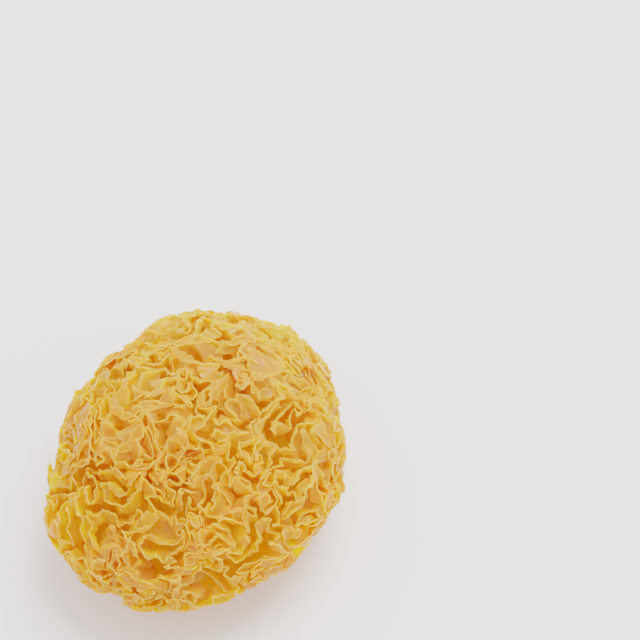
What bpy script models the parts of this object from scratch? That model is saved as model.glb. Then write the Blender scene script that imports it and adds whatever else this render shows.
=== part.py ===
"""A dried snow fungus, cut from the wood it grew on and resting on that cut.

The real thing is one grown body. Thin fronds rise from a small hard foot, and their margins grow
longer than the room around them, so they buckle into ruffles that fill a low dome. The script
grows those margins as curves on a family of nested domes, keeps what each curve sweeps as a
frond, and fuses the fronds with the dense heart of the body and its foot into one solid.

Metres, +Z up. The origin is the middle of the flat cut, and +X runs along the longer way across.
"""

import math

import bmesh
import bpy
import numpy as np

MM = 0.001

# The body, margin to margin
LENGTH = 122 * MM
WIDTH = 103 * MM
HEIGHT = 72 * MM
WAIST_HEIGHT = 31 * MM
RIM_CLEARANCE = 4.5 * MM
SWELL = 1.1 * MM
SWELL_WAVE = 42 * MM

# The foot and the heart, the dense middle from which the fronds stand out
FOOT_RADIUS = 14.5 * MM
FOOT_TOP_RADIUS = 10 * MM
FOOT_HEIGHT = 9 * MM
FOOT_OVERCUT = 4 * MM
BUD_RADIUS = 12 * MM
BUD_HEIGHT = 4 * MM
HEART_AGE = 0.80

# The fronds
FROND_GAP = 7.6 * MM
FROND_THICKNESS = 2.1 * MM
MARGIN_STEP = 1.9 * MM
FIRST_FRONDS = 11
FIRST_POINTS = 16
LOWEST_HEADING = math.radians(142)
LEAN_AGE = 0.78
LEAN = 7.0 * MM
SHOWN_FROM_AGE = 0.62
NOTCH_AGE = 0.045

# The solid's own fineness
VOXEL = 0.95 * MM
TRIANGLES = 9400


def unit(vectors):
    return vectors / np.linalg.norm(vectors, axis=-1, keepdims=True)


def wave_noise(seed, wavelength, waves=24, parts=1):
    """A smooth random field of about that wavelength, as a sum of plane waves."""
    random = np.random.default_rng(seed)
    pitch = 2 * math.pi / wavelength * random.uniform(0.75, 1.3, size=(waves, 1))
    ways = unit(random.normal(size=(waves, 3))) * pitch
    phases = random.uniform(0, 2 * math.pi, size=(parts, waves))

    def field(points):
        along = points @ ways.T
        sums = [np.cos(along + phase).sum(axis=1) for phase in phases]
        return np.stack(sums, axis=1) * math.sqrt(2 / waves)

    return field


swell = wave_noise(11, SWELL_WAVE, waves=10)
coarseness = wave_noise(21, 30 * MM, waves=16)
combing = wave_noise(31, 36 * MM, waves=20, parts=3)
notches = wave_noise(41, 15 * MM, waves=40)


def dome_centre(age):
    """The middle of the dome that the margins reach at that age, 0 at the bud and 1 full grown."""
    return np.array([0, 0, (1 - age) * BUD_HEIGHT + age * WAIST_HEIGHT])


def full_reach(headings):
    """How far the full-grown margins stand from the waist's middle, along each unit heading."""
    top = np.array([LENGTH / 2, WIDTH / 2, HEIGHT - WAIST_HEIGHT])
    bottom = np.array([LENGTH / 2, WIDTH / 2, WAIST_HEIGHT - RIM_CLEARANCE])
    halves = np.where(headings[:, 2:] > 0, top, bottom)
    reach = 1 / np.linalg.norm(headings / halves, axis=1)
    return reach + SWELL * swell(headings * WIDTH / 2)[:, 0]


def on_dome(headings, age):
    """Points of the dome of that age along those headings."""
    reach = (1 - age) * BUD_RADIUS + age * full_reach(headings)
    return dome_centre(age) + reach[:, None] * headings


def gap_at(points):
    """How far apart the fronds stand: crisper in some places than in others."""
    return FROND_GAP * np.clip(1 + 0.25 * coarseness(points)[:, 0], 0.75, 1.4)


def lean_at(points, age):
    """How far the margins bend over, for each share of the age that is left, like combed hair."""
    way = combing(points)
    outward = unit(points - dome_centre(age))
    return LEAN * (way - (way * outward).sum(axis=1, keepdims=True) * outward)


class Margins:
    """The fronds' growing edges: chains of points on the dome, stored one after another."""

    def __init__(self):
        random = np.random.default_rng(3)
        downs, turns = [], []
        for number in range(FIRST_FRONDS):
            top = random.uniform(0.1, 0.6)
            low = LOWEST_HEADING - random.uniform(0.02, 0.3)
            down = np.linspace(top, low, FIRST_POINTS)
            twist = random.uniform(-0.7, 0.7)
            downs.append(down)
            turns.append(2 * math.pi * number / FIRST_FRONDS + twist * (down - top))
        down, turn = np.concatenate(downs), np.concatenate(turns)
        across = np.sin(down)
        self.headings = np.stack(
            [across * np.cos(turn), across * np.sin(turn), np.cos(down)], axis=1
        )
        self.chain = np.repeat(np.arange(FIRST_FRONDS), FIRST_POINTS)
        self.link()
        self.rest = self.edge_lengths(on_dome(self.headings, 0))

    def link(self):
        """Finds the edges, each from a point to the next one of its chain."""
        self.tail = np.flatnonzero(self.chain[1:] == self.chain[:-1])
        self.head = self.tail + 1

    def edge_lengths(self, points):
        return np.linalg.norm(points[self.head] - points[self.tail], axis=1)

    def split(self, points):
        """Puts a point in each long edge, and says where the old points went and which split."""
        longest = np.maximum(self.edge_lengths(points), self.rest)
        parted = longest > 1.35 * MARGIN_STEP
        after = self.tail[parted]
        middles = unit(self.headings[after] + self.headings[self.head[parted]])
        moved = np.arange(len(self.chain))
        moved = moved + np.searchsorted(after, moved, side="left")
        rest = np.zeros(len(self.chain))
        rest[self.tail] = np.where(parted, self.rest / 2, self.rest)
        rest = np.insert(rest, after + 1, rest[after])
        self.headings = np.insert(self.headings, after + 1, middles, axis=0)
        self.chain = np.insert(self.chain, after + 1, self.chain[after])
        self.link()
        self.rest = rest[self.tail]
        return moved, parted


def near_pairs(points, reach):
    """Every pair of points closer than reach, found by sorting the points into cubic cells."""
    cells = np.floor((points - points.min(axis=0)) / reach).astype(np.int64) + 1
    size = cells.max(axis=0) + 2
    keys = (cells[:, 0] * size[1] + cells[:, 1]) * size[2] + cells[:, 2]
    order = np.argsort(keys, kind="stable")
    keys = keys[order]
    steps = [(x, y, z) for x in (-1, 0, 1) for y in (-1, 0, 1) for z in (-1, 0, 1)]
    first, second = [], []
    for step in steps[len(steps) // 2 :]:
        beside = keys + (step[0] * size[1] + step[1]) * size[2] + step[2]
        low = np.searchsorted(keys, beside, side="left")
        high = np.searchsorted(keys, beside, side="right")
        if step == (0, 0, 0):
            low = np.arange(len(keys)) + 1
        count = np.maximum(high - low, 0)
        run = np.arange(count.sum()) - np.repeat(np.cumsum(count) - count, count)
        first.append(np.repeat(np.arange(len(keys)), count))
        second.append(run + np.repeat(low, count))
    first = order[np.concatenate(first)]
    second = order[np.concatenate(second)]
    near = np.linalg.norm(points[first] - points[second], axis=1) < reach
    return first[near], second[near]


def neighbours(margins, points, gaps):
    """Pairs on different fronds, or far apart along one, that are close enough to crowd."""
    first, second = near_pairs(points, gaps.max() * 1.1)
    other = margins.chain[first] != margins.chain[second]
    keep = other | (np.abs(first - second) * MARGIN_STEP > 0.95 * gaps[first])
    return first[keep], second[keep]


def gathered(count, index, values):
    """The sum of the values that each index holds."""
    return np.stack([np.bincount(index, column, count) for column in values.T], axis=1)


def relax(margins, age, share, rounds=10, firmness=0.3, spring=0.35, stiffness=0.25):
    """Lets the margins lengthen where they have room, and settle apart from each other."""
    points = on_dome(margins.headings, age)
    gaps = gap_at(points)
    count = len(points)
    tail, head = margins.tail, margins.head
    for turn in range(rounds):
        if turn % 4 == 0:
            first, second = neighbours(margins, points, gaps)
            wanted = (gaps[first] + gaps[second]) / 2
        between = points[first] - points[second]
        distance = np.linalg.norm(between, axis=1)
        press = np.clip(1 - distance / wanted, 0, None)
        push = between * (firmness * press * wanted / distance)[:, None]
        crowd = np.bincount(first, press, count) + np.bincount(second, press, count)
        edge = points[head] - points[tail]
        length = np.linalg.norm(edge, axis=1)
        pull = edge * (spring * (length - margins.rest) / length)[:, None]
        move = gathered(count, first, push) - gathered(count, second, push)
        move += gathered(count, tail, pull) - gathered(count, head, pull)
        bend = gathered(count, tail, edge) - gathered(count, head, edge)
        ends = np.bincount(tail, minlength=count) + np.bincount(head, minlength=count) < 2
        move += np.where(ends[:, None], 0, stiffness * bend / 2)
        if age > LEAN_AGE:
            move += lean_at(points, age) * share / rounds
        far = np.linalg.norm(move, axis=1, keepdims=True)
        move *= np.minimum(1, 0.09 * gaps[:, None] / np.maximum(far, 1e-12))
        headings = unit(points + move - dome_centre(age))
        headings[:, 2] = np.maximum(headings[:, 2], math.cos(LOWEST_HEADING))
        margins.headings = unit(headings)
        points = np.round(on_dome(margins.headings, age), 9)
        if turn % 2 == 0:
            room = np.clip(1 - (crowd[tail] + crowd[head]) / 2 / 1.6, -0.5, 1)
            length = margins.edge_lengths(points)
            margins.rest *= 1 + 0.1 * room
            margins.rest = np.clip(margins.rest, 0.85 * length, 1.35 * length)
    return points


def grow_fronds():
    """The sheets that the margins sweep from bud to full size: points, triangles and ages."""
    steady = np.linspace(0, LEAN_AGE, 22)
    ages = np.concatenate([steady, np.linspace(LEAN_AGE, 1, 11)[1:]])
    margins = Margins()
    points = [on_dome(margins.headings, 0)]
    stamps = [np.zeros(len(points[0]))]
    triangles = []
    row = np.arange(len(points[0]))
    for before, age in zip(ages, ages[1:]):
        old_tail, old_head = row[margins.tail], row[margins.head]
        tail, head = margins.tail, margins.head
        moved, parted = margins.split(on_dome(margins.headings, age))
        points.append(relax(margins, age, (age - before) / (1 - LEAN_AGE)))
        stamps.append(np.full(len(points[-1]), age))
        row = row[-1] + 1 + np.arange(len(points[-1]))
        new_tail, new_head = row[moved[tail]], row[moved[head]]
        middle = new_tail + 1
        whole = ~parted
        for corners, where in (
            ((old_tail, old_head, new_head), whole),
            ((old_tail, new_head, new_tail), whole),
            ((old_tail, middle, new_tail), parted),
            ((old_tail, old_head, middle), parted),
            ((old_head, new_head, middle), parted),
        ):
            triangles.append(np.stack(corners, axis=1)[where])
    return np.concatenate(points), np.concatenate(triangles), np.concatenate(stamps)


def trimmed(points, triangles, ages):
    """Leaves out what lies in the heart, and what the uneven margins never reached."""
    last = 1 - NOTCH_AGE * (0.6 + notches(points)[:, 0])
    kept = (ages >= SHOWN_FROM_AGE) & (ages <= last)
    triangles = triangles[kept[triangles].all(axis=1)]
    used, index = np.unique(triangles, return_inverse=True)
    return points[used], index.reshape(-1, 3)


def new_object(name, bm):
    mesh = bpy.data.meshes.new(name)
    bm.to_mesh(mesh)
    bm.free()
    thing = bpy.data.objects.new(name, mesh)
    bpy.context.scene.collection.objects.link(thing)
    return thing


def add_heart(bm):
    """The dense middle of the body, where the fronds have grown together."""
    made = bmesh.ops.create_icosphere(bm, subdivisions=5, radius=1)
    headings = unit(np.array([vertex.co for vertex in made["verts"]]))
    for vertex, point in zip(made["verts"], on_dome(headings, HEART_AGE)):
        vertex.co = point


def add_foot(bm):
    """The hard foot, left longer than it is so that the cut can be made through it."""
    made = bmesh.ops.create_cone(
        bm,
        cap_ends=True,
        segments=40,
        radius1=FOOT_RADIUS,
        radius2=FOOT_TOP_RADIUS,
        depth=FOOT_HEIGHT + FOOT_OVERCUT,
    )
    middle = (FOOT_HEIGHT - FOOT_OVERCUT) / 2
    bmesh.ops.translate(bm, verts=made["verts"], vec=(0, 0, middle))


def frond_sheets():
    """The fronds as sheets of their real run, thickened by a Solidify modifier."""
    points, triangles = trimmed(*grow_fronds())
    bm = bmesh.new()
    corners = [bm.verts.new(point) for point in points]
    for triangle in triangles:
        bm.faces.new([corners[index] for index in triangle])
    sheets = new_object("frond_sheets", bm)
    solidify = sheets.modifiers.new("Thickness", "SOLIDIFY")
    solidify.thickness = FROND_THICKNESS
    solidify.offset = 0
    return sheets


def evaluated_bmesh(thing):
    bpy.context.view_layer.update()
    bm = bmesh.new()
    bm.from_object(thing, bpy.context.evaluated_depsgraph_get())
    return bm


def cut_block():
    """The block that takes away everything below the cut."""
    bm = bmesh.new()
    bmesh.ops.create_cube(bm, size=2 * LENGTH)
    bmesh.ops.translate(bm, verts=bm.verts, vec=(0, 0, -LENGTH))
    block = new_object("cut_block", bm)
    block.hide_render = True
    block.display_type = "WIRE"
    return block


def fungus_material():
    """Dried jelly fungus: a thin horny skin, pale gold, with a low gloss."""
    material = bpy.data.materials.new("dried_fungus")
    material.use_nodes = True
    shader = material.node_tree.nodes["Principled BSDF"]
    shader.inputs["Base Color"].default_value = (0.66, 0.41, 0.11, 1)
    shader.inputs["Roughness"].default_value = 0.5
    shader.inputs["Metallic"].default_value = 0
    return material


def keep_largest_body(bm):
    """Leaves out crumbs that hang free and pockets that the fronds closed off."""
    bodies = []
    waiting = set(bm.verts)
    while waiting:
        body = {waiting.pop()}
        edge = set(body)
        while edge:
            edge = {link.other_vert(v) for v in edge for link in v.link_edges} - body
            body |= edge
        waiting -= body
        bodies.append(body)
    bodies.sort(key=len)
    for body in bodies[:-1]:
        bmesh.ops.delete(bm, geom=list(body), context="VERTS")


def fused_body():
    """The fronds, the heart and the foot as one finely meshed body."""
    sheets = frond_sheets()
    bm = evaluated_bmesh(sheets)
    bpy.data.objects.remove(sheets)
    add_heart(bm)
    add_foot(bm)
    body = new_object("body", bm)
    remesh = body.modifiers.new("Fuse", "REMESH")
    remesh.mode = "VOXEL"
    remesh.voxel_size = VOXEL
    smooth = body.modifiers.new("Even", "SMOOTH")
    smooth.factor = 0.5
    smooth.iterations = 2
    fused = evaluated_bmesh(body)
    bpy.data.objects.remove(body)
    keep_largest_body(fused)
    return fused


def build_fungus():
    """Thins the fused body's mesh and cuts its foot flat."""
    body = fused_body()
    triangles = sum(len(face.verts) - 2 for face in body.faces)
    fungus = new_object("snow_fungus", body)
    fungus.data.materials.append(fungus_material())
    decimate = fungus.modifiers.new("Facets", "DECIMATE")
    decimate.ratio = TRIANGLES / triangles
    cut = fungus.modifiers.new("Cut", "BOOLEAN")
    cut.operation = "DIFFERENCE"
    cut.object = cut_block()


for leftover in list(bpy.data.objects):
    bpy.data.objects.remove(leftover)
build_fungus()
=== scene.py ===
"""The looks of the dried snow fungus: its thin fronds, its foot, their finish and the picture.

The fronds are grown as the real ones are. Each frond's margin is a chain of points on a dome.
The dome widens from the bud to the full body, and the margins lengthen faster than it does, so
they crowd and buckle into ruffles, and lean over late in their growth. What each margin sweeps
on its way is its frond. The fronds then tear, fold over, pucker and are pressed in as they dry.
"""

import math

import bmesh
import bpy
import numpy as np
from mathutils import Matrix, Vector


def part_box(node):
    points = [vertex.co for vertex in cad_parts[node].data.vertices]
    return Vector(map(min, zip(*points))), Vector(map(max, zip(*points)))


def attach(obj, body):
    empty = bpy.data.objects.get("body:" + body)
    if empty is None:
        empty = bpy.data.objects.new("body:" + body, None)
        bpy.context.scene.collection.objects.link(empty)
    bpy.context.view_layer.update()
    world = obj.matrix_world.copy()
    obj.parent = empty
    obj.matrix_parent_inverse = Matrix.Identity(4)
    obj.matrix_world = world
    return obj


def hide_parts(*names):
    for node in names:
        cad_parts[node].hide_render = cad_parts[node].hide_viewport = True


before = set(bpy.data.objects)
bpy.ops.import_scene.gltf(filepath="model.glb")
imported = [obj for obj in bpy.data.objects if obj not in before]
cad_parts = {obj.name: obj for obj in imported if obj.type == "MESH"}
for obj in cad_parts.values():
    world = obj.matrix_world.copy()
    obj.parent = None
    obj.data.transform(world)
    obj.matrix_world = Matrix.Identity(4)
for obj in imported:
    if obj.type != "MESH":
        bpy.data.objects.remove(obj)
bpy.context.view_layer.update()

MM = 0.001
NODE = "snow_fungus"
BODY_LOW, BODY_HIGH = (np.array(corner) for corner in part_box(NODE))

# The dome that the full-grown margins reach, a little inside the sides of the solid, and the bud
INSET = 0.8 * MM
HALF_LENGTH = (BODY_HIGH[0] - BODY_LOW[0]) / 2 - INSET
HALF_WIDTH = (BODY_HIGH[1] - BODY_LOW[1]) / 2 - INSET
HEIGHT = BODY_HIGH[2]
WAIST_HEIGHT = 31 * MM
RIM_CLEARANCE = 4.5 * MM
SWELL = 1.1 * MM
SWELL_WAVE = 42 * MM
BUD_RADIUS = 12 * MM
BUD_HEIGHT = 4 * MM

# The rows of fronds on the bud: polar angle, number, and share of the way round that they cover.
# A row is turned from the one above it, and its fronds are scattered and tilted.
FROND_ROWS = (
    (0.35, 5, 1.1),
    (0.85, 6, 0.9),
    (1.35, 7, 0.75),
    (1.85, 8, 0.65),
    (2.30, 7, 0.7),
)
ROW_TURN = 2.3
SCATTER_ROUND = 0.25
SCATTER_DOWN = 0.12
TILT = 0.35
FIRST_POINTS = 14
LOWEST_HEADING = math.radians(142)

# How they grow, by age: 0 at the bud and 1 full grown. The gaps between fronds and the steps
# along a margin are in millimetres, and the gaps vary from place to place.
GAP_BY_AGE = ((0, 6.0), (0.5, 6.2), (0.8, 5.0), (1.0, 3.3))
GAP_VARIATION = 0.35
LEAST_GAP, MOST_GAP = 0.62, 1.7
STEP_BY_AGE = ((0, 1.7), (0.6, 1.4), (0.85, 1.05), (1.0, 0.85))
LEAN = 7 * MM
CLOSE_LEAN_SHARE = 0.5
LEAN_AGE = 0.80
LAST_AGE = 1.02
STEADY_LAYERS = 27
LEANING_LAYERS = 17
SHOWN_FROM_AGE = 0.66
HEART_AGE = 0.70

# How the margins settle at each age. A round undoes a share of their crowding and of their
# stretch, straightens them a little, and moves a point no further than a share of the gap.
ROUNDS = 8
PUSH = 0.3
PULL = 0.35
STRAIGHTEN = 0.125
LONGEST_MOVE = 0.09
SEARCH_REACH = 1.05
OWN_STRETCH = 0.95

# How they lengthen: by how much a round, how crowded a point is when it stops, how far the rest
# length may be from the real one, and how many steps long an edge is when it parts in two
LENGTHENING = 0.1
FULL_CROWD = 1.6
SHORTEST_REST, LONGEST_REST = 0.85, 1.35
PARTING_STEPS = 1.35

# The age that the margins reach before they tear, and how deep, in age, each kind of tear goes
MARGIN_AGE = 0.98
LOBE_DEPTH, LOBE_WAVE = 0.014, 18 * MM
TEAR_DEPTH, TEAR_WAVE = 0.012, 7 * MM
TOOTH_DEPTH, TOOTH_WAVE = 0.004, 2.4 * MM

# How they fold over, pucker and are pressed in as they dry. A pucker has a wavelength, a height
# and a share of sharp folds.
FOLD_AGE = 0.80
WIDE_FOLD = 3 * MM
CLOSE_FOLD = 1 * MM
FOLD_STEEPNESS = 1.3
FOLD_VARIATION = 0.45
LEAST_FOLD, MOST_FOLD = 0.2, 1.8
PUCKER_AGE, PUCKER_SPAN = 0.3, 0.5
PUCKERS = ((20 * MM, 1.3 * MM, 0), (8 * MM, 0.8 * MM, 0.5), (3.6 * MM, 0.32 * MM, 0))
PRESS_START = 0.90
PRESS_ROOM = 0.11

# The sheets that they dry to
FROND_THICKNESS = 0.28 * MM
SHARP_EDGE = math.radians(50)
FROND_PIECES = 6

# Wrinkles in the sheets. The real ones are under a millimetre apart, too fine to show in the
# render, so they are drawn several times as far apart.
WRINKLE_SPACING = 4.5 * MM
WRINKLE_WIDTH = 0.03
WRINKLE_DEPTH = 0.15 * MM
# How pale the wrinkle lines are painted: a painted highlight where light catches them
WRINKLE_PALENESS = 0.45

# The finish: the ages between which the colour turns, how much age the pale margin (a painted
# highlight) spans, the share of light that goes through a sheet, how much of a mirror's glint its
# skin has, the side painted paler as if more light fell on it (painted light), and the foot's grain
DEEP_AGE, SHALLOW_AGE = 0.76, 0.98
PALE_MARGIN = 0.012
FAR_FROM_MARGIN = 0.3
PASSED_SHARE = 0.9
GLINT_SHARE = 0.6
LIGHT_SIDE = (0.85, 0.1, 0.5)
PAINTED_LIGHT_FROM = 15 * MM
PAINTED_LIGHT_FULL = 60 * MM
PAINTED_LIGHT_SPREAD = 8 * MM
FOOT_GRAIN = 2.5 * MM

# The numbers of the Mix node's colour sockets, which share their names with others
MIX_FIRST, MIX_SECOND, MIX_RESULT = 6, 7, 2

# The cut foot
FOOT_RADIUS = 14.5 * MM
FOOT_TOP_RADIUS = 10 * MM
FOOT_HEIGHT = 9 * MM
FOOT_SIDES = 72
CUT_BEVEL = 0.8 * MM
LUMP_HEIGHT, LUMP_WAVE = 0.5 * MM, 7 * MM
FIBRE_HEIGHT, FIBRE_WAVE = 0.08 * MM, 1.6 * MM
CUT_CLEARANCE = 0.6 * MM

# The floor, a hair below the cut so that the two don't flicker through each other
FLOOR_REACH = 3.0
FLOOR_DROP = 0.2 * MM

# A broad lamp above and to the right of the camera, the room's own light, and the exposure
LAMP_POWER = 5
LAMP_SIZE = 0.5
LAMP_DISTANCE = 0.9
LAMP_RIGHT, LAMP_UP = 0.4, 0.9
ROOM_LIGHT = 0.85
EXPOSURE = 0.82
MOST_BOUNCES = 32
SHEETS_PASSED = 24

# The photograph: where the fungus is in it and how it is seen
PHOTO_SIZE = 640
FUNGUS_PIXEL = (183, 436)
AIM_HEIGHT = HEIGHT * 0.47
CAMERA_LENS = 90
CAMERA_SENSOR = 36
CAMERA_DISTANCE = 0.578
CAMERA_AZIMUTH = math.radians(-55)
CAMERA_ELEVATION = math.radians(60)

# What keeps a division by a length of 0 from failing
TINY = 1e-20


def unit(vectors):
    return vectors / np.linalg.norm(vectors, axis=-1, keepdims=True)


class Waves:
    """A smooth random field of about one wavelength, as a sum of plane waves."""

    def __init__(self, seed, wavelength, waves=24, parts=1):
        random = np.random.default_rng(seed)
        pitch = 2 * math.pi / wavelength * random.uniform(0.75, 1.3, size=(waves, 1))
        self.ways = unit(random.normal(size=(waves, 3))) * pitch
        self.phases = random.uniform(0, 2 * math.pi, size=(parts, waves))
        self.height = math.sqrt(2 / waves)
        self.wavelength = wavelength

    def at(self, points):
        """One value a point: 0 on average, with a standard deviation of about 1."""
        return np.cos(points @ self.ways.T + self.phases[0]).sum(axis=1) * self.height

    def shifts(self, points):
        """One vector a point, from as many fields as there are parts."""
        along = points @ self.ways.T
        sums = [np.cos(along + phase).sum(axis=1) for phase in self.phases]
        return np.stack(sums, axis=1) * self.height

    def creases(self, points):
        """As shifts, but with a sharp fold wherever a field crosses 0."""
        return 2 * np.abs(self.shifts(points)) - 1.1

    def swirl(self, points, normals):
        """A flow along the dome that hardly gathers or spreads, with a speed of about 1."""
        along = points @ self.ways.T + self.phases[0]
        slope = -np.sin(along) @ self.ways * self.height * self.wavelength / (2 * math.pi)
        return np.cross(normals, slope)


swell = Waves(11, SWELL_WAVE, waves=10)
coarseness = Waves(21, 30 * MM, waves=16)
wide_lean = Waves(31, 30 * MM, waves=20)
close_lean = Waves(33, 13 * MM)
wide_folds = Waves(61, 11 * MM)
close_folds = Waves(62, 6 * MM)
fold_share = Waves(63, 26 * MM, waves=16)


def dome_centre(age):
    return np.array([0, 0, (1 - age) * BUD_HEIGHT + age * WAIST_HEIGHT])


def full_reach(headings):
    """How far the full-grown margins stand from the waist's middle, along each unit heading."""
    top = np.array([HALF_LENGTH, HALF_WIDTH, HEIGHT - WAIST_HEIGHT])
    bottom = np.array([HALF_LENGTH, HALF_WIDTH, WAIST_HEIGHT - RIM_CLEARANCE])
    halves = np.where(headings[:, 2:] > 0, top, bottom)
    reach = 1 / np.linalg.norm(headings / halves, axis=1)
    return reach + SWELL * swell.at(headings * HALF_WIDTH)


def on_dome(headings, age):
    reach = (1 - age) * BUD_RADIUS + age * full_reach(headings)
    return dome_centre(age) + reach[:, None] * headings


def gap_at(points, age):
    """How far apart the fronds stand. They are finer near their margins, and in some places."""
    gap = np.interp(age, *zip(*GAP_BY_AGE)) * MM
    return gap * np.clip(1 + GAP_VARIATION * coarseness.at(points), LEAST_GAP, MOST_GAP)


def lean_at(points, age):
    """How far the margins bend over for the whole of the leaning ages."""
    outward = unit(points - dome_centre(age))
    close = CLOSE_LEAN_SHARE * close_lean.swirl(points, outward)
    return LEAN * (wide_lean.swirl(points, outward) + close)


class Margins:
    """The fronds' growing edges: chains of points on the dome, stored one after another."""

    def __init__(self):
        random = np.random.default_rng(3)
        along = np.linspace(-1, 1, FIRST_POINTS)
        downs, turns = [], []
        for row_down, count, cover in FROND_ROWS:
            for number in range(count):
                place = number + random.uniform(-SCATTER_ROUND, SCATTER_ROUND)
                middle = 2 * math.pi * place / count
                half = math.pi / count * cover * random.uniform(0.75, 1.1)
                turns.append(middle + row_down * ROW_TURN + half * along)
                tilt = random.uniform(-TILT, TILT)
                frond_down = row_down + random.uniform(-SCATTER_DOWN, SCATTER_DOWN)
                downs.append(frond_down + tilt * along)
        down = np.clip(np.concatenate(downs), 0.05, LOWEST_HEADING - 0.02)
        turn = np.concatenate(turns)
        across = np.sin(down)
        self.headings = np.stack(
            [across * np.cos(turn), across * np.sin(turn), np.cos(down)], axis=1
        )
        self.chain = np.repeat(np.arange(len(downs)), FIRST_POINTS)
        self.link()
        self.rest = self.edge_lengths(on_dome(self.headings, 0))

    def link(self):
        """Finds the edges, each from a point to the next one of its chain."""
        self.tail = np.flatnonzero(self.chain[1:] == self.chain[:-1])
        self.head = self.tail + 1

    def edge_lengths(self, points):
        return np.linalg.norm(points[self.head] - points[self.tail], axis=1)

    def split(self, points, step):
        """Puts a point in each long edge, and says where the old points went and which split."""
        longest = np.maximum(self.edge_lengths(points), self.rest)
        parted = longest > PARTING_STEPS * step
        after = self.tail[parted]
        middles = unit(self.headings[after] + self.headings[self.head[parted]])
        moved = np.arange(len(self.chain))
        moved = moved + np.searchsorted(after, moved, side="left")
        rest = np.zeros(len(self.chain))
        rest[self.tail] = np.where(parted, self.rest / 2, self.rest)
        rest = np.insert(rest, after + 1, rest[after])
        self.headings = np.insert(self.headings, after + 1, middles, axis=0)
        self.chain = np.insert(self.chain, after + 1, self.chain[after])
        self.link()
        self.rest = rest[self.tail]
        return moved, parted


def near_pairs(points, reach):
    """Every pair of points closer than reach, found by sorting the points into cubic cells."""
    cells = np.floor((points - points.min(axis=0)) / reach).astype(np.int64) + 1
    size = cells.max(axis=0) + 2
    keys = (cells[:, 0] * size[1] + cells[:, 1]) * size[2] + cells[:, 2]
    order = np.argsort(keys, kind="stable")
    keys = keys[order]
    steps = [(x, y, z) for x in (-1, 0, 1) for y in (-1, 0, 1) for z in (-1, 0, 1)]
    first, second = [], []
    # The cell itself and half of those around it, since each pair is found from one side only
    for step in steps[len(steps) // 2 :]:
        beside = keys + (step[0] * size[1] + step[1]) * size[2] + step[2]
        low = np.searchsorted(keys, beside, side="left")
        high = np.searchsorted(keys, beside, side="right")
        if step == (0, 0, 0):
            low = np.arange(len(keys)) + 1
        count = np.maximum(high - low, 0)
        run = np.arange(count.sum()) - np.repeat(np.cumsum(count) - count, count)
        first.append(np.repeat(np.arange(len(keys)), count))
        second.append(run + np.repeat(low, count))
    first = order[np.concatenate(first)]
    second = order[np.concatenate(second)]
    near = np.linalg.norm(points[first] - points[second], axis=1) < reach
    return first[near], second[near]


def neighbours(margins, points, gaps, step):
    """Pairs on different fronds, or far apart along one, that are close enough to crowd."""
    first, second = near_pairs(points, gaps.max() * SEARCH_REACH)
    other = margins.chain[first] != margins.chain[second]
    keep = other | (np.abs(first - second) * step > OWN_STRETCH * gaps[first])
    return first[keep], second[keep]


def gathered(count, index, values):
    """The sum of the values that each index holds."""
    return np.stack([np.bincount(index, column, count) for column in values.T], axis=1)


def relax(margins, age, step, lean_share):
    """Lets the margins lengthen where they have room, and settle apart from each other."""
    points = on_dome(margins.headings, age)
    gaps = gap_at(points, age)
    count = len(points)
    tail, head = margins.tail, margins.head
    for turn in range(ROUNDS):
        if turn % 4 == 0:
            first, second = neighbours(margins, points, gaps, step)
            wanted = (gaps[first] + gaps[second]) / 2
        between = points[first] - points[second]
        distance = np.linalg.norm(between, axis=1)
        press = np.clip(1 - distance / wanted, 0, None)
        push = between * (PUSH * press * wanted / distance)[:, None]
        crowd = np.bincount(first, press, count) + np.bincount(second, press, count)
        edge = points[head] - points[tail]
        length = np.linalg.norm(edge, axis=1)
        pull = edge * (PULL * (length - margins.rest) / length)[:, None]
        move = gathered(count, first, push) - gathered(count, second, push)
        move += gathered(count, tail, pull) - gathered(count, head, pull)
        bend = gathered(count, tail, edge) - gathered(count, head, edge)
        ends = np.bincount(tail, minlength=count) + np.bincount(head, minlength=count) < 2
        move += np.where(ends[:, None], 0, STRAIGHTEN * bend)
        if lean_share > 0:
            move += lean_at(points, age) * lean_share / ROUNDS
        far = np.linalg.norm(move, axis=1, keepdims=True)
        move *= np.minimum(1, LONGEST_MOVE * gaps[:, None] / np.maximum(far, TINY))
        headings = unit(points + move - dome_centre(age))
        headings[:, 2] = np.maximum(headings[:, 2], math.cos(LOWEST_HEADING))
        margins.headings = unit(headings)
        points = np.round(on_dome(margins.headings, age), 9)
        if turn % 2 == 0:
            room = np.clip(1 - (crowd[tail] + crowd[head]) / 2 / FULL_CROWD, -0.5, 1)
            length = margins.edge_lengths(points)
            rest = margins.rest * (1 + LENGTHENING * room)
            margins.rest = np.clip(rest, SHORTEST_REST * length, LONGEST_REST * length)
    return points


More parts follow.
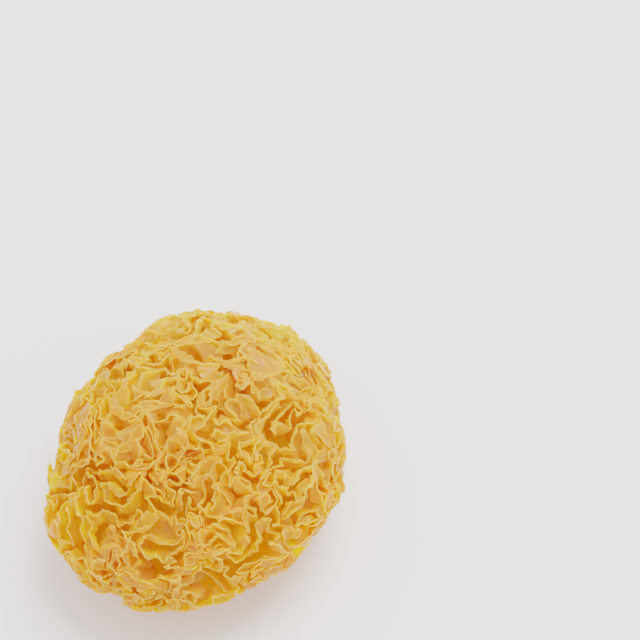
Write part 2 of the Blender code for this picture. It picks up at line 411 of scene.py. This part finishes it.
def grow_fronds():
    """The sheets that the margins sweep: points, triangles, ages and which frond."""
    steady = np.linspace(0, LEAN_AGE, STEADY_LAYERS)
    ages = np.concatenate([steady, np.linspace(LEAN_AGE, LAST_AGE, LEANING_LAYERS + 1)[1:]])
    margins = Margins()
    points = [on_dome(margins.headings, 0)]
    stamps = [np.zeros(len(points[0]))]
    chains = [margins.chain]
    triangles = []
    row = np.arange(len(points[0]))
    for before, age in zip(ages, ages[1:]):
        old_tail, old_head = row[margins.tail], row[margins.head]
        tail, head = margins.tail, margins.head
        step = np.interp(age, *zip(*STEP_BY_AGE)) * MM
        moved, parted = margins.split(on_dome(margins.headings, age), step)
        lean_share = max(age - max(before, LEAN_AGE), 0) / (1 - LEAN_AGE)
        points.append(relax(margins, age, step, lean_share))
        stamps.append(np.full(len(points[-1]), age))
        chains.append(margins.chain)
        row = row[-1] + 1 + np.arange(len(points[-1]))
        if before < SHOWN_FROM_AGE:
            continue
        new_tail, new_head = row[moved[tail]], row[moved[head]]
        middle = new_tail + 1
        whole = ~parted
        for corners, where in (
            ((old_tail, old_head, new_head), whole),
            ((old_tail, new_head, new_tail), whole),
            ((old_tail, middle, new_tail), parted),
            ((old_tail, old_head, middle), parted),
            ((old_head, new_head, middle), parted),
        ):
            triangles.append(np.stack(corners, axis=1)[where])
    chains = np.concatenate(chains).astype(float)
    return np.concatenate(points), np.concatenate(triangles), np.concatenate(stamps), chains


def torn(points, triangles, beyond, values):
    """Keeps the part where beyond is below 0, and cuts the triangles that cross the tear."""
    inside = beyond[triangles] <= 0
    kept = inside.sum(axis=1)
    whole = triangles[kept == 3]
    cut = triangles[(kept == 1) | (kept == 2)]
    one_in = kept[(kept == 1) | (kept == 2)] == 1
    odd = np.argmax((beyond[cut] <= 0) == one_in[:, None], axis=1)
    turn = (odd[:, None] + np.arange(3)) % 3
    cut = np.take_along_axis(cut, turn, axis=1)
    edges = np.sort(np.concatenate([cut[:, :2], cut[:, [0, 2]]]), axis=1)
    edges, index = np.unique(edges, axis=0, return_inverse=True)
    share = beyond[edges[:, 0]] / (beyond[edges[:, 0]] - beyond[edges[:, 1]])
    near_cut, far_cut = len(points) + index.reshape(2, -1)

    def blended(all_values):
        low, high = all_values[edges[:, 0]], all_values[edges[:, 1]]
        weight = share.reshape(-1, *[1] * (all_values.ndim - 1))
        return np.concatenate([all_values, low + weight * (high - low)])

    two_in = ~one_in
    triangles = np.concatenate(
        [
            whole,
            np.stack([cut[:, 0], near_cut, far_cut], axis=1)[one_in],
            np.stack([near_cut, cut[:, 1], cut[:, 2]], axis=1)[two_in],
            np.stack([near_cut, cut[:, 2], far_cut], axis=1)[two_in],
        ]
    )
    return blended(points), triangles, [blended(value) for value in values]


def compact(triangles, *values):
    """Leaves out the points that no triangle uses."""
    used, index = np.unique(triangles, return_inverse=True)
    return index.reshape(-1, 3), [value[used] for value in values]


def rooted(triangles, ages):
    """Which triangles belong to a sheet that reaches in to the heart, and aren't torn loose."""
    label = np.arange(len(ages))
    ends = np.concatenate([triangles[:, :2], triangles[:, 1:]])
    while True:
        before = label.copy()
        low = np.minimum(label[ends[:, 0]], label[ends[:, 1]])
        np.minimum.at(label, ends[:, 0], low)
        np.minimum.at(label, ends[:, 1], low)
        label = label[label]
        if (label == before).all():
            break
    deepest = np.full(len(ages), np.inf)
    np.minimum.at(deepest, label, ages)
    return deepest[label[triangles[:, 0]]] < HEART_AGE


def margin_age(points):
    """The age that each place's margin reached before it tore, from broad lobes to fine teeth."""
    lobes = LOBE_DEPTH * Waves(42, LOBE_WAVE, waves=30).at(points)
    tears = TEAR_DEPTH * Waves(41, TEAR_WAVE, waves=40).at(points)
    teeth = TOOTH_DEPTH * Waves(43, TOOTH_WAVE, waves=60).at(points)
    return MARGIN_AGE + lobes + tears + teeth


def folded(points, ages):
    """Folds the margins over sideways, far in some places and hardly in others."""
    outward = unit(points - dome_centre(1))
    late = np.clip((ages - FOLD_AGE) / (1 - FOLD_AGE), 0, 1.1) ** FOLD_STEEPNESS
    late *= np.clip(1 + FOLD_VARIATION * fold_share.at(points), LEAST_FOLD, MOST_FOLD)
    flow = WIDE_FOLD * wide_folds.swirl(points, outward)
    flow += CLOSE_FOLD * close_folds.swirl(points, outward)
    return points + late[:, None] * flow


def crumpled(points, ages):
    """Dries the fronds: they pucker, more and more from the bud outwards."""
    share = np.clip((ages - PUCKER_AGE) / PUCKER_SPAN, 0, 1)[:, None]
    for seed, (wavelength, height, sharpness) in enumerate(PUCKERS, start=51):
        pucker = Waves(seed, wavelength, parts=3)
        shifts = pucker.shifts(points) * (1 - sharpness) + pucker.creases(points) * sharpness
        points = points + height * share * shifts
    return points


def pressed(points):
    """Bends in what stands out of the full dome, as margins do that dry against a wrapper."""
    centre = dome_centre(1)
    outward = points - centre
    headings = unit(outward)
    reach = full_reach(headings)
    share = np.linalg.norm(outward, axis=1) / reach
    over = np.clip(share - PRESS_START, 0, None)
    share = np.minimum(share, PRESS_START) + PRESS_ROOM * np.tanh(over / PRESS_ROOM)
    points = centre + headings * (share * reach)[:, None]
    points[:, 2] = np.maximum(points[:, 2], CUT_CLEARANCE)
    return points


def bleached(points):
    """Painted light: how much paler each place is painted, 1 fully, on the side that light falls on.
    """
    towards = points @ unit(np.array(LIGHT_SIDE)) + PAINTED_LIGHT_SPREAD * coarseness.at(points)
    return np.clip((towards - PAINTED_LIGHT_FROM) / (PAINTED_LIGHT_FULL - PAINTED_LIGHT_FROM), 0, 1)


def thickened(points, triangles, thickness):
    """The two faces of a sheet and the rim between them."""
    corners = points[triangles]
    facing = np.cross(corners[:, 1] - corners[:, 0], corners[:, 2] - corners[:, 0])
    facing = np.repeat(facing, 3, axis=0)
    normals = unit(gathered(len(points), triangles.ravel(), facing) + TINY)
    half = normals * thickness / 2
    edges = np.concatenate([triangles[:, [0, 1]], triangles[:, [1, 2]], triangles[:, [2, 0]]])
    keys = np.sort(edges, axis=1) @ [len(points), 1]
    index, uses = np.unique(keys, return_inverse=True, return_counts=True)[1:]
    start, end = edges[uses[index] == 1].T
    under_start, under_end = start + len(points), end + len(points)
    faces = (
        triangles,
        triangles[:, ::-1] + len(points),
        np.stack([end, start, under_start], axis=1),
        np.stack([end, under_start, under_end], axis=1),
    )
    return np.concatenate([points + half, points - half]), np.concatenate(faces)


def new_object(name, points, triangles, values):
    """An object made of triangles, with the values that its material reads at each point."""
    mesh = bpy.data.meshes.new(name)
    mesh.vertices.add(len(points))
    mesh.vertices.foreach_set("co", points.ravel())
    mesh.loops.add(triangles.size)
    mesh.loops.foreach_set("vertex_index", triangles.ravel())
    mesh.polygons.add(len(triangles))
    mesh.polygons.foreach_set("loop_start", np.arange(0, triangles.size, 3))
    mesh.update(calc_edges=True)
    mesh.shade_smooth()
    for label, value in values.items():
        layer = mesh.attributes.new(label, "FLOAT", "POINT")
        layer.data.foreach_set("value", value)
    thing = bpy.data.objects.new(name, mesh)
    bpy.context.scene.collection.objects.link(thing)
    return thing


def add_fronds(material):
    """The thin fronds, grown, torn and dried, in pieces with about as many triangles each."""
    points, triangles, ages, chains = grow_fronds()
    margin = margin_age(points)
    points, triangles, (ages, chains, margin) = torn(
        points, triangles, ages - margin, [ages, chains, margin]
    )
    triangles = triangles[rooted(triangles, ages)]
    triangles, (points, ages, chains, margin) = compact(triangles, points, ages, chains, margin)
    points = pressed(crumpled(folded(points, ages), ages))
    frond = np.round(chains[triangles[:, 0]]).astype(int)
    counts = np.bincount(frond)
    piece_of_frond = (np.cumsum(counts) - counts / 2) * FROND_PIECES // len(triangles)
    for number in range(FROND_PIECES):
        own = triangles[piece_of_frond[frond] == number]
        own, (own_points, own_ages, own_margin) = compact(own, points, ages, margin)
        values = {"age": own_ages, "to_margin": own_margin - own_ages}
        # Painted light: places on the side that light falls on are painted paler
        values["bleached"] = bleached(own_points)
        values = {label: np.tile(value, 2) for label, value in values.items()}
        own_points, own = thickened(own_points, own, FROND_THICKNESS)
        piece = new_object(f"fronds_{number + 1}", own_points, own, values)
        piece.data.set_sharp_from_angle(angle=SHARP_EDGE)
        finish_piece(piece, material)


def add_heart(material):
    """The dense middle of the body, seen only at the bottom of the deepest gaps."""
    bm = bmesh.new()
    bmesh.ops.create_icosphere(bm, subdivisions=5, radius=1)
    headings = unit(np.array([vertex.co for vertex in bm.verts]))
    triangles = np.array([[vertex.index for vertex in face.verts] for face in bm.faces])
    bm.free()
    ages = np.full(len(headings), HEART_AGE)
    points = crumpled(on_dome(headings, HEART_AGE), ages)
    points[:, 2] = np.maximum(points[:, 2], CUT_CLEARANCE)
    values = {"age": ages, "to_margin": np.full(len(points), FAR_FROM_MARGIN)}
    finish_piece(new_object("heart", points, triangles, values), material)


def add_foot(material):
    """The hard foot, where it was cut from the log that it grew on."""
    bm = bmesh.new()
    bmesh.ops.create_cone(
        bm,
        cap_ends=True,
        segments=FOOT_SIDES,
        radius1=FOOT_RADIUS,
        radius2=FOOT_TOP_RADIUS,
        depth=FOOT_HEIGHT,
        matrix=Matrix.Translation((0, 0, FOOT_HEIGHT / 2)),
    )
    low = FOOT_HEIGHT / 2
    cut_rim = [edge for edge in bm.edges if all(vertex.co.z < low for vertex in edge.verts)]
    bmesh.ops.bevel(bm, geom=cut_rim, offset=CUT_BEVEL, segments=3, affect="EDGES")
    bmesh.ops.triangulate(bm, faces=bm.faces)
    bmesh.ops.subdivide_edges(bm, edges=bm.edges, cuts=3, use_grid_fill=True)
    bmesh.ops.triangulate(bm, faces=bm.faces)
    bm.verts.index_update()
    points = np.array([vertex.co for vertex in bm.verts])
    triangles = np.array([[vertex.index for vertex in face.verts] for face in bm.faces])
    bm.free()
    lumps = LUMP_HEIGHT * Waves(71, LUMP_WAVE, parts=3).shifts(points)
    fibres = FIBRE_HEIGHT * Waves(72, FIBRE_WAVE, parts=3).shifts(points)
    # Sideways alone, so that the cut stays flat
    points = points + (lumps + fibres) * [1, 1, 0]
    finish_piece(new_object("cut_foot", points, triangles, {}), material)


def finish_piece(piece, material):
    piece.data.materials.append(material)
    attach(piece, "root")
    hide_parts(NODE)


def colour(hex_value):
    """An sRGB hex value as linear red, green, blue and alpha."""
    parts = [int(hex_value[place : place + 2], 16) / 255 for place in (0, 2, 4)]
    linear = [part / 12.92 if part <= 0.04045 else ((part + 0.055) / 1.055) ** 2.4 for part in parts]
    return (*linear, 1)


def add_node(tree, kind, settings=(), links=()):
    """Adds a node, sets its properties and sockets, and links outputs into its inputs.

    A socket goes by its name, or by its number where sockets share a name."""
    node = tree.nodes.new(kind)
    for name, value in dict(settings).items():
        if isinstance(name, int) or name in node.inputs:
            node.inputs[name].default_value = value
        else:
            setattr(node, name, value)
    for name, output in dict(links).items():
        tree.links.new(output, node.inputs[name])
    return node


def wrinkle_lines(tree):
    """Thin lines where the sheet puckered: 1 on a line and 0 between them. They run where a
    field crosses its middle height."""
    place = add_node(tree, "ShaderNodeTexCoord")
    field = add_node(
        tree,
        "ShaderNodeTexNoise",
        {"Scale": 1 / WRINKLE_SPACING, "Detail": 2.0, "Roughness": 0.6, "Distortion": 0.6},
        {"Vector": place.outputs["Object"]},
    )
    centred = add_node(
        tree,
        "ShaderNodeMapRange",
        {"To Min": -0.5, "To Max": 0.5},
        {"Value": field.outputs["Fac"]},
    )
    height = add_node(
        tree, "ShaderNodeMath", {"operation": "ABSOLUTE"}, {"Value": centred.outputs["Result"]}
    )
    lines = add_node(
        tree,
        "ShaderNodeMapRange",
        {
            "interpolation_type": "SMOOTHSTEP",
            "From Max": WRINKLE_WIDTH,
            "To Min": 1.0,
            "To Max": 0.0,
        },
        {"Value": height.outputs["Value"]},
    )
    return lines.outputs["Result"]


def shade_by_age(tree, age, deep, shallow):
    """A colour for light deep among the fronds that turns to another towards the margins."""
    shade = add_node(tree, "ShaderNodeValToRGB", links={"Fac": age})
    first, last = shade.color_ramp.elements
    first.position, first.color = DEEP_AGE, colour(deep)
    last.position, last.color = SHALLOW_AGE, colour(shallow)
    return shade.outputs["Color"]


def dried_jelly():
    """Dried jelly fungus, a horny gel in thin sheets. Most light goes through a sheet, and turns
    golden on the way, while what it throws back is creamy. Its skin is smooth, and glints."""
    material = bpy.data.materials.new("dried_jelly")
    material.use_nodes = True
    tree = material.node_tree
    tree.nodes.clear()
    lines = wrinkle_lines(tree)
    relief = add_node(
        tree, "ShaderNodeBump", {"Strength": 0.5, "Distance": WRINKLE_DEPTH}, {"Height": lines}
    )
    age = add_node(tree, "ShaderNodeAttribute", {"attribute_name": "age"}).outputs["Fac"]
    # Painted light: how much paler this place is painted for lying on the side that light falls on
    light = add_node(tree, "ShaderNodeAttribute", {"attribute_name": "bleached"})
    to_margin = add_node(tree, "ShaderNodeAttribute", {"attribute_name": "to_margin"})
    # A painted highlight along each margin: 1 at the torn edge, fading out within PALE_MARGIN of age
    margin = add_node(
        tree,
        "ShaderNodeMapRange",
        {"From Max": PALE_MARGIN, "To Min": 1.0, "To Max": 0.0},
        {"Value": to_margin.outputs["Fac"]},
    )
    # The wrinkles' relief is a bump; their paler lines are a painted highlight
    faint_lines = add_node(
        tree, "ShaderNodeMapRange", {"To Max": WRINKLE_PALENESS}, {"Value": lines}
    )
    # What a sheet throws back and what goes through it, both paler: painted light on the side that
    # light falls on, and a painted highlight at its margin and along its wrinkles
    # Painted light: the deep colours are lighter than the shallow ones, which lifts the shade in the
    # deep gaps
    tints = [
        shade_by_age(tree, age, deep="FFF06C", shallow="FFE76E"),
        shade_by_age(tree, age, deep="FFF062", shallow="FFDF68"),
    ]
    for share, special in (
        (light.outputs["Fac"], "FFEB98"),
        (margin.outputs["Result"], "FFEDA8"),
        (faint_lines.outputs["Result"], "FFEFB4"),
    ):
        for number, usual in enumerate(tints):
            mix = add_node(
                tree,
                "ShaderNodeMix",
                {"data_type": "RGBA", MIX_SECOND: colour(special)},
                {"Factor": share, MIX_FIRST: usual},
            )
            tints[number] = mix.outputs[MIX_RESULT]
    cream, gold = tints
    body = add_node(
        tree,
        "ShaderNodeBsdfPrincipled",
        {"Roughness": 0.42, "Specular IOR Level": 0.0},
        {"Base Color": cream, "Normal": relief.outputs["Normal"]},
    )
    glow = add_node(tree, "ShaderNodeBsdfTranslucent", links={"Color": gold})
    gel = add_node(
        tree,
        "ShaderNodeMixShader",
        {"Fac": PASSED_SHARE},
        {1: body.outputs["BSDF"], 2: glow.outputs["BSDF"]},
    )
    skin = add_node(
        tree,
        "ShaderNodeBsdfAnisotropic",
        {"Roughness": 0.3, "Color": (1, 1, 1, 1)},
        {"Normal": relief.outputs["Normal"]},
    )
    mirror = add_node(
        tree, "ShaderNodeFresnel", {"IOR": 1.4}, {"Normal": relief.outputs["Normal"]}
    )
    # A face shines on its outer side alone, and not within the sheet
    side = add_node(tree, "ShaderNodeNewGeometry")
    outer = add_node(
        tree,
        "ShaderNodeMapRange",
        {"To Min": GLINT_SHARE, "To Max": 0.0},
        {"Value": side.outputs["Backfacing"]},
    )
    shine = add_node(
        tree,
        "ShaderNodeMath",
        {"operation": "MULTIPLY"},
        {0: mirror.outputs["Fac"], 1: outer.outputs["Result"]},
    )
    both = add_node(
        tree,
        "ShaderNodeMixShader",
        links={"Fac": shine.outputs["Value"], 1: gel.outputs["Shader"], 2: skin.outputs["BSDF"]},
    )
    add_node(tree, "ShaderNodeOutputMaterial", links={"Surface": both.outputs["Shader"]})
    return material


def dried_foot():
    """The foot's dense gel, dried hard: browner than the fronds, dull, with darker flecks of bark."""
    material = bpy.data.materials.new("dried_foot")
    material.use_nodes = True
    tree = material.node_tree
    body = tree.nodes["Principled BSDF"]
    body.inputs["Roughness"].default_value = 0.6
    place = add_node(tree, "ShaderNodeTexCoord")
    grain = add_node(
        tree,
        "ShaderNodeTexNoise",
        {"Scale": 1 / FOOT_GRAIN, "Detail": 4.0},
        {"Vector": place.outputs["Object"]},
    )
    shade = add_node(tree, "ShaderNodeValToRGB", links={"Fac": grain.outputs["Fac"]})
    first, last = shade.color_ramp.elements
    first.position, first.color = 0.34, colour("7A4A1E")
    last.position, last.color = 0.6, colour("D9A24E")
    relief = add_node(
        tree,
        "ShaderNodeBump",
        {"Strength": 0.6, "Distance": 0.3 * MM},
        {"Height": grain.outputs["Fac"]},
    )
    tree.links.new(shade.outputs["Color"], body.inputs["Base Color"])
    tree.links.new(relief.outputs["Normal"], body.inputs["Normal"])
    return material


def plain_floor():
    """A sheet of matt, nearly white studio paper."""
    material = bpy.data.materials.new("pale_floor")
    material.use_nodes = True
    shader = material.node_tree.nodes["Principled BSDF"]
    shader.inputs["Base Color"].default_value = colour("F2F1EF")
    shader.inputs["Roughness"].default_value = 0.7
    return material


def add_floor():
    corners = np.array([[-1, -1, 0], [1, -1, 0], [1, 1, 0], [-1, 1, 0]]) * FLOOR_REACH
    floor = new_object("floor", corners, np.array([[0, 1, 2], [0, 2, 3]]), {})
    floor.location.z = -FLOOR_DROP
    floor.data.materials.append(plain_floor())


def view_axes():
    """The camera's right, up and backward directions."""
    back = Vector(
        (
            math.sin(CAMERA_AZIMUTH) * math.cos(CAMERA_ELEVATION),
            -math.cos(CAMERA_AZIMUTH) * math.cos(CAMERA_ELEVATION),
            math.sin(CAMERA_ELEVATION),
        )
    )
    right = Vector((math.cos(CAMERA_AZIMUTH), math.sin(CAMERA_AZIMUTH), 0))
    return right, back.cross(right), back


def add_camera():
    """The camera looks past the fungus, so that it stands low and left as in the photograph."""
    right, up, back = view_axes()
    middle = Vector((0, 0, AIM_HEIGHT))
    data = bpy.data.cameras.new("camera")
    data.lens = CAMERA_LENS
    data.sensor_width = CAMERA_SENSOR
    data.clip_start = 0.01
    camera = bpy.data.objects.new("camera", data)
    bpy.context.scene.collection.objects.link(camera)
    bpy.context.scene.camera = camera
    camera.location = middle + back * CAMERA_DISTANCE
    pixel = CAMERA_DISTANCE * CAMERA_SENSOR / CAMERA_LENS / PHOTO_SIZE
    across = PHOTO_SIZE / 2 - FUNGUS_PIXEL[0]
    upward = FUNGUS_PIXEL[1] - PHOTO_SIZE / 2
    target = middle + right * across * pixel + up * upward * pixel
    camera.rotation_mode = "QUATERNION"
    camera.rotation_quaternion = (target - camera.location).to_track_quat("-Z", "Y")


def add_lamp():
    right, up, back = view_axes()
    direction = back + LAMP_RIGHT * right + LAMP_UP * up
    data = bpy.data.lights.new("key", "AREA")
    data.energy = LAMP_POWER
    data.size = LAMP_SIZE
    lamp = bpy.data.objects.new("key", data)
    bpy.context.scene.collection.objects.link(lamp)
    lamp.location = Vector((0, 0, HEIGHT / 2)) + direction.normalized() * LAMP_DISTANCE
    lamp.rotation_mode = "QUATERNION"
    lamp.rotation_quaternion = (-direction).to_track_quat("-Z", "Y")


def add_room_light():
    room = bpy.data.worlds.new("soft_room")
    room.use_nodes = True
    background = room.node_tree.nodes["Background"]
    background.inputs["Color"].default_value = (1, 1, 1, 1)
    background.inputs["Strength"].default_value = ROOM_LIGHT
    bpy.context.scene.world = room


def set_light_paths():
    """Enough bounces for light to find its way through many sheets."""
    cycles = bpy.context.scene.cycles
    cycles.max_bounces = MOST_BOUNCES
    cycles.diffuse_bounces = SHEETS_PASSED
    cycles.glossy_bounces = SHEETS_PASSED
    cycles.transmission_bounces = SHEETS_PASSED
    cycles.use_denoising = True


def set_exposure():
    """A soft tone curve, in which the pale margins don't burn out."""
    view = bpy.context.scene.view_settings
    view.view_transform = "Filmic"
    view.exposure = EXPOSURE


add_camera()
add_lamp()
add_room_light()
add_floor()
jelly = dried_jelly()
add_fronds(jelly)
add_heart(jelly)
add_foot(dried_foot())
set_light_paths()
set_exposure()
